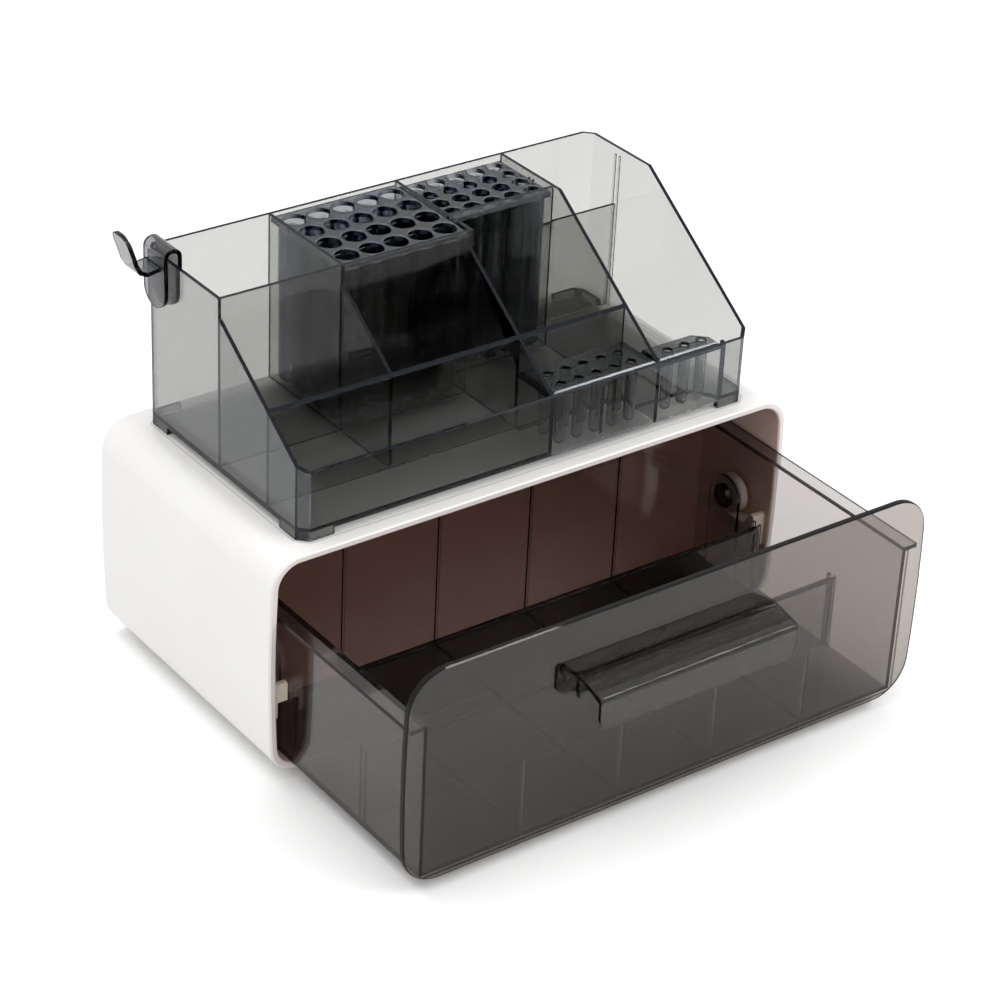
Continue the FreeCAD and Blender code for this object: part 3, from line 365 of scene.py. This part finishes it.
def smoked(name, absorbed, density, edge=NAVY_EDGE, shine=COOL_SHINE, gloss=0.25,
           roughness=0.015, floor_below=None, outlined=None, veil=None, streaked_below=None,
           sides_beyond=None, ripple=0.35):
    """Clear smoked plastic, darker along the way that light travels through it.

    absorbed and density set the dye, edge tints the pane edges, shine and gloss are the
    colour and the strength of the mirror light, and ripple is how wavy the surface is.
    What else darkens a piece, in mm where it is a place:
    floor_below - below this height the plastic is nearly black, painted shade standing in for the
    dark under the drawer; its seams darker still;
    outlined - half width, floor, top and front face of the line where the drawer's walls
    meet the panel;
    veil - the colour of a dull film over the edges and that line, and how much it covers; a pale
    veil is a painted sheen;
    streaked_below - upright streaks of painted shade below this height, standing in for the dark
    bands down the fluted tubes;
    sides_beyond - side walls farther than this from the middle are darker: painted shade."""
    finish = Finish(name)
    x, y, z = finish.axes()
    haze = finish.noise(35)
    wave = finish.noise(60, 0.0)
    rim = finish.node("ShaderNodeAttribute", {"attribute_name": "rim"}).out("Fac")
    clear = finish.blend(rim, WHITE, edge)
    # painted shade: below this height the drawer is made nearly black, standing in for the shade
    # under it
    if floor_below is not None:
        from_seam = (x + SEAM_PITCH * 0.5).maths("PINGPONG", SEAM_PITCH * 0.5)
        seam = from_seam.ramp(*SEAM_FADE, 1.0, 0.0)
        base = finish.blend(seam, FLOOR_SHADE_TONE, SEAM_TONE)
        clear = finish.blend(z.below(floor_below * MM), clear, base)
    if outlined is not None:
        half, low, high, front = (value * MM for value in outlined)
        inside = (half - abs(x)).lowest(z - low)
        line = abs(inside).ramp(*LINE_FADE, 1.0, 0.0) * z.below(high) * y.below(front)
        rim = rim.highest(line)
    if streaked_below is not None:
        # painted shade: upright dark streaks standing in for the bands down the fluted tubes
        flow = finish.noise(STREAK_SCALE, 1.0, STREAK_STRETCH)
        streak = flow.ramp(0.38, 0.6) * z.below(streaked_below * MM)
        clear = finish.blend(streak, clear, STREAK_SHADE_TONE)
    if sides_beyond is not None:
        # painted shade: the drawer's side walls are made darker than the rest of the box
        clear = finish.blend(abs(x).above(sides_beyond * MM), clear, SIDE_SHADE_TONE)
    plastic = finish.surface(
        Base_Color=clear, Transmission_Weight=1.0, IOR=SMOKED_IOR, Specular_IOR_Level=gloss,
        Specular_Tint=shine, Roughness=haze.ramp(0.35, 0.75, roughness, roughness + 0.03),
        Normal=finish.bump(wave, RIPPLE_DEPTH, ripple))
    dye = finish.node("ShaderNodeVolumeAbsorption", None,
                      {"Color": absorbed, "Density": density})
    finish.feed(finish.output.inputs["Volume"], dye.out(0))
    # the veil: a diffuse film on the marked faces; a pale one is a painted sheen
    if veil is not None:
        film_colour, cover = veil
        film = finish.node("ShaderNodeBsdfDiffuse", None, {"Color": film_colour})
        mixed = finish.node("ShaderNodeMixShader", None,
                            [rim * cover, plastic.out(0), film.out(0)])
        finish.feed(finish.output.inputs["Surface"], mixed.out(0))
    return finish.material


def rubber(name):
    """Dull black rubber with a coarse grain."""
    finish = Finish(name)
    grain = finish.noise(900, 3.0)
    finish.surface(Base_Color=finish.blend(grain, colour(34, 34, 35), colour(46, 46, 47)),
                   Roughness=0.8, Normal=finish.bump(grain, 0.05 * MM))
    return finish.material


# the line of the drawer's walls on the panel, in mm: half width, floor, top, front face
PANEL_LINE = (152.5, 5.4, 94.0, -199.1)
# each veil's colour, and how much of the surface it covers
NAVY_VEIL = ((0.01, 0.012, 0.018, 1), 0.5)
BLACK_VEIL = ((0.01, 0.01, 0.01, 1), 0.6)
# the pale veil is a painted sheen on the sides of the tube blocks' plates
PALE_SHEEN_VEIL = ((0.42, 0.45, 0.5, 1), 0.26)

SHELL = two_tone_shaded_shell()
CREAM = moulded("cream_rail_plastic", colour(232, 218, 204), 0.42)
ROLLER = moulded("cream_roller_plastic", colour(236, 226, 212), 0.38)
RUBBER = rubber("foot_rubber")
SMOKE_TRAY = smoked("smoked_tray_plastic", (0.06, 0.066, 0.025, 1), 225, gloss=0.3,
                    veil=NAVY_VEIL)
SMOKE_BLOCK = smoked("smoked_block_plastic", (0.0, 0.05, 0.15, 1), 470, WHITE,
                     roughness=0.085, veil=PALE_SHEEN_VEIL, streaked_below=221.5)
SMOKE_LINER = smoked("smoked_liner_plastic", (0.0, 0.03, 0.08, 1), 560, roughness=0.08)
SMOKE_DRAWER = smoked("smoked_drawer_plastic", (0.14, 0.045, 0.0, 1), 160, BROWN_EDGE,
                      WARM_SHINE, floor_below=8.3, veil=BLACK_VEIL, sides_beyond=149.9)
SMOKE_PANEL = smoked("smoked_panel_plastic", (0.15, 0.07, 0.0, 1), 320, BROWN_EDGE,
                     WARM_SHINE, gloss=0.22, outlined=PANEL_LINE, veil=BLACK_VEIL)
SMOKE_DIVIDER = smoked("smoked_divider_plastic", (0.1, 0.05, 0.0, 1), 330, BLACK_EDGE,
                       WARM_SHINE, gloss=0.3, veil=BLACK_VEIL)
SMOKE_HANDLE = smoked("smoked_handle_plastic", (0.07, 0.06, 0.0, 1), 400, BROWN_EDGE,
                      WARM_SHINE, gloss=0.4, roughness=0.03, ripple=0.04)
SMOKE_HOOK = smoked("smoked_hook_plastic", (0.0, 0.0, 0.02, 1), 460, gloss=0.5)


# --------------------------------------------------------------------- pieces

BODY_OF = {node: body for body, nodes in frame["record"]["behaviour"]["bodies"].items()
           for node in nodes}
# in degrees: flatter joints between faces are dissolved, and sharper edges are eased
FLAT_ANGLE, EASED_ANGLE = 0.5, 40
SMOOTH_ANGLE, FORMED_SMOOTH_ANGLE = 30, 35
RIM_WIDTH = 2.7 * MM


def mark_rims(shape, widest, counts):
    """Give each face the value 1 if it is a strip no wider than a pane's edge, else 0."""
    rim = shape.faces.layers.float.new("rim")
    for face in shape.faces:
        width = 2 * face.calc_area() / face.calc_perimeter()
        face[rim] = float(width < widest and counts(face))


def any_face(face):
    return True


def drawer_rim(face):
    """The box's edges, and not the ends of its front and rear walls."""
    return abs(face.normal.y) < 0.9


def panel_rim(face):
    """The panel's own outline, and not the lines where the box and the handle meet it."""
    middle = face.calc_center_median()
    return abs(middle.x) > PANEL_LINE[0] * MM or not 12 * MM < middle.z < 90 * MM


def tray_rim(face):
    """The tray's edges, and not the sides of the ribs on its right wall."""
    middle = face.calc_center_median()
    return middle.x < 130 * MM or abs(face.normal.z) > 0.3 or abs(middle.y) > 60 * MM


def smooth_by_angle(shape, angle):
    """Smooth faces, with an edge kept where two of them meet at more than this angle."""
    for face in shape.faces:
        face.smooth = True
    for edge in shape.edges:
        if len(edge.link_faces) == 2:
            edge.smooth = edge.calc_face_angle() < math.radians(angle)


def copied(node, name, rims=None):
    """A copy of a CAD node's mesh, welded and smoothed by angle."""
    mesh = frame["nodes"][node].data.copy()
    mesh.name = name
    shape = bmesh.new()
    shape.from_mesh(mesh)
    bmesh.ops.remove_doubles(shape, verts=shape.verts, dist=CAD_WELD)
    bmesh.ops.dissolve_limit(shape, angle_limit=math.radians(FLAT_ANGLE), verts=shape.verts,
                             edges=shape.edges)
    if rims:
        mark_rims(shape, RIM_WIDTH, rims)
    smooth_by_angle(shape, SMOOTH_ANGLE)
    shape.to_mesh(mesh)
    shape.free()
    return mesh


def skin(node, name, material, bevel=0.3 * MM, rims=None):
    """A finished copy of a CAD node with eased edges.

    rims says which of its narrow faces are edges of a pane."""
    mesh = copied(node, name, rims)
    mesh.materials.clear()
    mesh.materials.append(material)
    piece = bpy.data.objects.new(name, mesh)
    bpy.context.scene.collection.objects.link(piece)
    if bevel:
        ease = piece.modifiers.new("eased_edges", "BEVEL")
        ease.width = bevel
        ease.segments = 2
        ease.limit_method = "ANGLE"
        ease.angle_limit = math.radians(EASED_ANGLE)
        ease.harden_normals = True
    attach(piece, BODY_OF[node])
    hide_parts(node)


def shade(mesh, plate_low=None):
    """Smooth a formed piece, and mark as rims the sides of a tube block's plate.

    These are the upright faces above plate_low."""
    shape = bmesh.new()
    shape.from_mesh(mesh)
    if plate_low is not None:
        # on a tube block these faces take a pale veil, a painted sheen
        rim = shape.faces.layers.float.new("rim")
        for face in shape.faces:
            upright = abs(face.normal.z) < 0.8
            face[rim] = float(upright and face.calc_center_median().z > plate_low)
    smooth_by_angle(shape, FORMED_SMOOTH_ANGLE)
    shape.to_mesh(mesh)
    shape.free()


def outline(points, height):
    """A flat sheet with this outline, the start of a tube block's top plate."""
    mesh = bpy.data.meshes.new("plate_outline")
    mesh.from_pydata([(x, y, height) for x, y in points], [], [tuple(range(len(points)))])
    return mesh


def rounded_tube(former, sides, radius, soft, low, top):
    """A closed tube body from low to top, whose lower end is rounded by soft.

    The lower half of the blank turns through the round end, and the upper half is straight."""
    blank = former.node("GeometryNodeMeshCylinder", {"fill_type": "NGON"},
                        {"Vertices": sides, "Side Segments": 8, "Radius": 1.0, "Depth": 1.0})
    place = former.node("GeometryNodeInputPosition").out(0)
    split = former.node("ShaderNodeSeparateXYZ", None, [place])
    x, y, along = split.out(0), split.out(1), split.out(2) + 0.5
    turn = (along * 2).lowest(1.0) * (math.pi / 2)
    rise = ((along - 0.5) * 2).highest(0.0)
    reach = radius - soft + soft * turn.maths("SINE")
    height = low + soft * (1 - turn.maths("COSINE")) + rise * (top - low - soft)
    return former.node("GeometryNodeSetPosition", None,
                       {"Geometry": blank.out(0),
                        "Position": former.spot(x * reach, y * reach, height)}).out(0)


def tube_block_former():
    """A plate over a grid of round-ended tubes, bored from above, with eased hole mouths."""
    former = Former("tube_block")
    sides = former.size("Sides", "Int")
    columns, rows = former.size("Columns", "Int"), former.size("Rows", "Int")
    pitch_x, pitch_y = former.size("Pitch X"), former.size("Pitch Y")
    first_x, first_y = former.size("First X"), former.size("First Y")
    top, low = former.size("Top"), former.size("Low")
    plate, hole = former.size("Plate"), former.size("Hole Radius")
    ease, draw_in = former.size("Ease"), former.size("Draw In", "Vector")
    wall, end = former.size("Wall"), former.size("End Thickness")
    soft, mouth = former.size("End Round"), former.size("Mouth")
    web, skirt = former.size("Web"), former.size("Skirt")
    middle, material = former.size("Middle", "Vector"), former.size("Material", "Material")

    # the plate, drawn up from its outline, with its top face drawn in a little
    sheet = former.moved(former.start(), former.spot(0.0, 0.0, 0.0 - plate))
    risen, risen_top = former.raised(sheet, plate - ease)
    eased, eased_top = former.raised(risen, ease, risen_top)
    here = former.node("GeometryNodeInputPosition").out(0)
    from_middle = former.node("ShaderNodeVectorMath", {"operation": "SUBTRACT"},
                              [here, middle]).out(0)
    inward = former.node("ShaderNodeVectorMath", {"operation": "MULTIPLY"},
                         [from_middle, draw_in]).out(0)
    upper = former.node("GeometryNodeSetPosition", None,
                        {"Geometry": eased, "Selection": eased_top, "Offset": inward}).out(0)
    underside = former.node("GeometryNodeFlipFaces", None, [sheet]).out(0)
    top_plate = former.join(upper, underside)

    # the tubes, which end inside the plate, and what is bored from them
    span_x, span_y = pitch_x * (columns - 1), pitch_y * (rows - 1)
    grid = former.node("GeometryNodeMeshGrid", None,
                       {"Size X": span_x, "Size Y": span_y, "Vertices X": columns,
                        "Vertices Y": rows}).out(0)
    spots = former.moved(grid, former.spot(first_x + span_x * 0.5, first_y + span_y * 0.5, 0.0))
    tubes = former.instances(spots, rounded_tube(
        former, sides, hole + wall, soft + wall, low, top - plate * 0.5))
    bores = former.instances(spots, rounded_tube(
        former, sides, hole, soft, low + end, top + plate))
    cone = former.node("GeometryNodeMeshCone", {"fill_type": "NGON"},
                       {"Vertices": sides, "Radius Top": hole + mouth * 2,
                        "Radius Bottom": hole - mouth, "Depth": mouth * 3}).out(0)
    mouths = former.instances(
        spots, former.moved(cone, former.spot(0.0, 0.0, top - mouth * 2)))

    # a web under the plate along each row, where a block has them
    strip = former.node("GeometryNodeMeshCube", None, {
        "Size": former.spot(span_x, web, skirt + plate * 0.5)}).out(0)
    row_spots = former.node("GeometryNodeMeshLine", {"mode": "OFFSET"}, {
        "Count": rows,
        "Start Location": former.spot(first_x + span_x * 0.5, first_y,
                                      top - plate * 0.75 - skirt * 0.5),
        "Offset": former.spot(0.0, pitch_y, 0.0)}).out(0)
    webs = former.node("GeometryNodeSwitch", {"input_type": "GEOMETRY"},
                       {"Switch": web.above(0.0),
                        "True": former.instances(row_spots, strip)}).out(0)

    solid = former.combine("UNION", (top_plate, tubes, webs))
    former.deliver(former.combine("DIFFERENCE", (bores, mouths), solid), material)
    return former


# how full the round of a tongue's end is, and how far the clip's and the arm's slabs overlap
END_ROUNDNESS, SLAB_OVERLAP = 0.97, 0.1 * MM


def tongue_former():
    """Keeps what lies inside two round-ended outlines, seen from the side of the wall."""
    former = Former("round_ends")
    middle = former.size("Middle Y")
    split = former.size("Split X")
    clip_half, clip_low = former.size("Clip Half Width"), former.size("Clip Low")
    arm_half, arm_top = former.size("Arm Half Width"), former.size("Arm Top")
    reach, material = former.size("Reach"), former.size("Material", "Material")

    def slab(half, middle_z, start_x):
        """A slab of thickness reach across the wall, its outline a strip with round ends."""
        strip = former.node("GeometryNodeCurvePrimitiveQuadrilateral", None,
                            {"Width": half * 2, "Height": reach * 2}).out(0)
        rounded = former.node("GeometryNodeFilletCurve", {"mode": "POLY"},
                              {"Curve": strip, "Count": 10,
                               "Radius": half * END_ROUNDNESS}).out(0)
        sheet = former.node("GeometryNodeFillCurve", {"mode": "NGONS"}, [rounded]).out(0)
        lifted, _ = former.raised(sheet, reach)
        lower = former.node("GeometryNodeFlipFaces", None, [sheet]).out(0)
        return former.moved(former.join(lifted, lower), former.spot(start_x, middle, middle_z),
                            (math.pi / 2, 0, math.pi / 2))

    clip = slab(clip_half, clip_low + reach, split)
    arm = slab(arm_half, arm_top - reach, split - reach + SLAB_OVERLAP)
    keep = former.combine("UNION", (clip, arm))
    former.deliver(former.combine("INTERSECT", (former.start(), keep)), material)
    return former


def wall_hook():
    """The clip-on hook, with a round-ended tongue inside and out and a round arm tip."""
    blank = copied("accessory_hook", "hook_blank")
    low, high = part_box("accessory_hook")
    clear = 0.01 * MM
    piece = tongue_former().run("wall_hook", blank, {
        "Middle Y": (low[1] + high[1]) / 2, "Split X": -157.6 * MM,
        "Clip Half Width": 10.3 * MM, "Clip Low": low[2] - clear,
        "Arm Half Width": 7.3 * MM, "Arm Top": high[2] + clear,
        "Reach": 40 * MM, "Material": SMOKE_HOOK})
    shade(piece.data)
    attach(piece, BODY_OF["accessory_hook"])
    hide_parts("accessory_hook")


def corners(low, high):
    """The corners of a rectangle in plan, anticlockwise."""
    return [(low[0], low[1]), (high[0], low[1]), (high[0], high[1]), (low[0], high[1])]


PLATE_EASE = 0.8 * MM


def tube_block(former, nodes, name, material, points, **sizes):
    """One finished tube block in the place of its CAD nodes."""
    start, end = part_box(nodes[0])
    low = min(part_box(node)[0][2] for node in nodes)
    ease = PLATE_EASE
    spans = [end[way] - start[way] for way in (0, 1)]
    sizes = {key.replace("_", " "): value for key, value in sizes.items()}
    piece = former.run(name, outline(points, end[2]), {
        "Top": end[2], "Low": low, "Material": material, "Ease": ease,
        "Draw In": (-2 * ease / spans[0], -2 * ease / spans[1], 0.0),
        "Middle": tuple((start[way] + end[way]) / 2 for way in range(3)), **sizes})
    shade(piece.data, end[2] - sizes["Plate"])
    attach(piece, BODY_OF[nodes[0]])
    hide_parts(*nodes)


skin("housing_shell", "white_case", SHELL, bevel=0)
for number in range(1, 5):
    skin("foot_pad_%d" % number, "rubber_foot_%d" % number, RUBBER, bevel=0.2 * MM)
for side in ("left", "right"):
    skin("drawer_rail_" + side, "roller_rail_" + side, CREAM)
    skin("roller_" + side, "drawer_roller_" + side, ROLLER, bevel=0)
    skin("roller_axle_" + side, "roller_pin_" + side, SMOKE_HANDLE, bevel=0)
skin("drawer_box", "smoked_drawer", SMOKE_DRAWER, rims=drawer_rim)
skin("drawer_front", "smoked_front", SMOKE_PANEL, bevel=0, rims=panel_rim)
skin("handle_grip", "folded_grip", SMOKE_HANDLE, bevel=0.9 * MM)
skin("handle_bracket", "inner_bracket", SMOKE_HANDLE, bevel=0.6 * MM)
skin("drawer_divider_front", "cross_divider_front", SMOKE_DIVIDER, rims=any_face)
skin("drawer_divider_rear", "cross_divider_rear", SMOKE_DIVIDER, rims=any_face)
skin("organizer_tray", "stepped_tray", SMOKE_TRAY, bevel=0.25 * MM, rims=tray_rim)
BLOCKS = tube_block_former()
columns, rows = 5, 4
for kind, hole, wall, pitch_x, pitch_y in (("large", 6.7, 1.1, 15.2, 16.2),
                                           ("small", 5.0, 0.9, 13.1, 11.3)):
    low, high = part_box("brush_block_" + kind)
    tube_block(BLOCKS, ["brush_block_" + kind, "brush_base_" + kind], "brush_tubes_" + kind,
               SMOKE_BLOCK, corners(low, high), Sides=32, Columns=columns, Rows=rows,
               Pitch_X=pitch_x * MM, Pitch_Y=pitch_y * MM,
               First_X=(low[0] + high[0] - (columns - 1) * pitch_x * MM) / 2,
               First_Y=(low[1] + high[1] - (rows - 1) * pitch_y * MM) / 2,
               Plate=3.2 * MM, Hole_Radius=hole * MM, Wall=wall * MM, End_Thickness=1.8 * MM,
               End_Round=2.6 * MM, Mouth=0.45 * MM, Web=0.0, Skirt=0.0)
for place, columns, rows, first in (("centre", 5, 2, 22.4), ("right", 3, 1, 92.7)):
    low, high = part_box("liner_block_" + place)
    points = corners(low, high)
    if place == "right":
        cut = 7.5 * MM
        points[2:3] = [(high[0], high[1] - cut), (high[0] - cut, high[1])]
    tube_block(BLOCKS, ["liner_block_" + place], "hanging_tubes_" + place, SMOKE_LINER, points,
               Sides=20, Columns=columns, Rows=rows, Pitch_X=11.5 * MM, Pitch_Y=11.5 * MM,
               First_X=first * MM, First_Y=-65 * MM, Plate=2 * MM, Hole_Radius=2.4 * MM,
               Wall=0.7 * MM, End_Thickness=0.9 * MM, End_Round=2.2 * MM, Mouth=0.2 * MM,
               Web=1.0 * MM, Skirt=7 * MM)
skin("tray_divider", "side_bay_divider", SMOKE_TRAY, rims=any_face)
wall_hook()


# ------------------------------------------------------ floor, light, camera

FLOOR_HEIGHT, FLOOR_REACH = -5 * MM, 6000 * MM
FLOOR_LOW, FLOOR_HIGH, FLOOR_SEEN = ((level, level, level, 1) for level in (0.8, 0.81, 1.12))
# the camera's bearing, its height angle and its roll, in degrees, and what it looks at
CAMERA_ANGLES = (-37.36, 30.61, 2.88)
CAMERA_AIM, CAMERA_DISTANCE = Vector((2.15, -44.9, 92.0)) * MM, 1619.8 * MM
LENS_IN_WIDTHS = 3.06392


def seen_rays(tree):
    """1 for what the eye sees, straight, mirrored or through glass, and 0 for soft light."""
    path = tree.node("ShaderNodeLightPath")
    straight = path.out("Is Camera Ray").highest(path.out("Is Glossy Ray"))
    return straight.highest(path.out("Is Transmission Ray"))


def floor():
    """A pale sheet that looks white to the eye and in glass, and still takes the shadow."""
    finish = Finish("pale_floor")
    grain = finish.noise(5)
    seen = seen_rays(finish)
    plain = finish.blend(grain, FLOOR_LOW, FLOOR_HIGH)
    tone = finish.blend(seen, plain, FLOOR_SEEN)
    base = finish.node("ShaderNodeBsdfDiffuse", None, {"Color": tone})
    finish.feed(finish.output.inputs["Surface"], base.out(0))
    mesh = bpy.data.meshes.new("floor")
    reach = FLOOR_REACH
    mesh.from_pydata([(x, y, FLOOR_HEIGHT) for x, y in corners((-reach, -reach), (reach, reach))],
                     [], [(0, 1, 2, 3)])
    mesh.materials.append(finish.material)
    sheet = bpy.data.objects.new("floor", mesh)
    bpy.context.scene.collection.objects.link(sheet)


def lamp(name, size, watts, place, aim):
    """A rectangular lamp of this size that points from its place at its aim."""
    data = bpy.data.lights.new(name, "AREA")
    data.shape = "RECTANGLE"
    data.size, data.size_y = size
    data.energy = watts
    item = bpy.data.objects.new(name, data)
    bpy.context.scene.collection.objects.link(item)
    item.location = place
    turn = (Vector(aim) - Vector(place)).to_track_quat("-Z", "Y")
    item.rotation_euler = turn.to_euler()


def world():
    """Even light from all round, which glass, gloss and the eye see as white."""
    backdrop = bpy.data.worlds.new("studio")
    backdrop.use_nodes = True
    studio = Tree(backdrop.node_tree)
    studio.tree.nodes.clear()
    out = studio.node("ShaderNodeOutputWorld")
    soft = studio.node("ShaderNodeBackground", None, {"Color": WHITE, "Strength": 0.75})
    seen = studio.node("ShaderNodeBackground", None, {"Color": WHITE, "Strength": 1.0})
    mixed = studio.node("ShaderNodeMixShader", None,
                        [seen_rays(studio), soft.out(0), seen.out(0)])
    studio.feed(out.made.inputs["Surface"], mixed.out(0))
    bpy.context.scene.world = backdrop


def camera():
    """A long lens from above the left front corner, turned a little about its own axis."""
    azimuth, elevation, roll = (math.radians(angle) for angle in CAMERA_ANGLES)
    back = Vector((math.sin(azimuth) * math.cos(elevation),
                   -math.cos(azimuth) * math.cos(elevation), math.sin(elevation)))
    forward = -back
    right = forward.cross(Vector((0, 0, 1))).normalized()
    up = right.cross(forward)
    across = right * math.cos(roll) + up * math.sin(roll)
    above = up * math.cos(roll) - right * math.sin(roll)
    data = bpy.data.cameras.new("camera")
    data.sensor_width = 36
    data.lens = LENS_IN_WIDTHS * data.sensor_width
    data.clip_start = 0.05
    data.clip_end = 50
    item = bpy.data.objects.new("camera", data)
    bpy.context.scene.collection.objects.link(item)
    turn = Matrix((across, above, back)).transposed().to_4x4()
    item.matrix_world = Matrix.Translation(CAMERA_AIM + back * CAMERA_DISTANCE) @ turn
    bpy.context.scene.camera = item


floor()
world()
lamp("top_softbox", (1.6, 1.2), 11.5, (-0.5, 0.2, 1.7), (0, -0.05, 0.1))
lamp("front_strip", (1.2, 0.35), 2.0, (0.6, -1.6, 1.1), (0, -0.1, 0.1))
lamp("edge_strip", (1.5, 0.12), 9.0, (0.8, -1.0, 1.25), (0, -0.15, 0.08))
camera()
bpy.context.scene.view_settings.view_transform = "Standard"
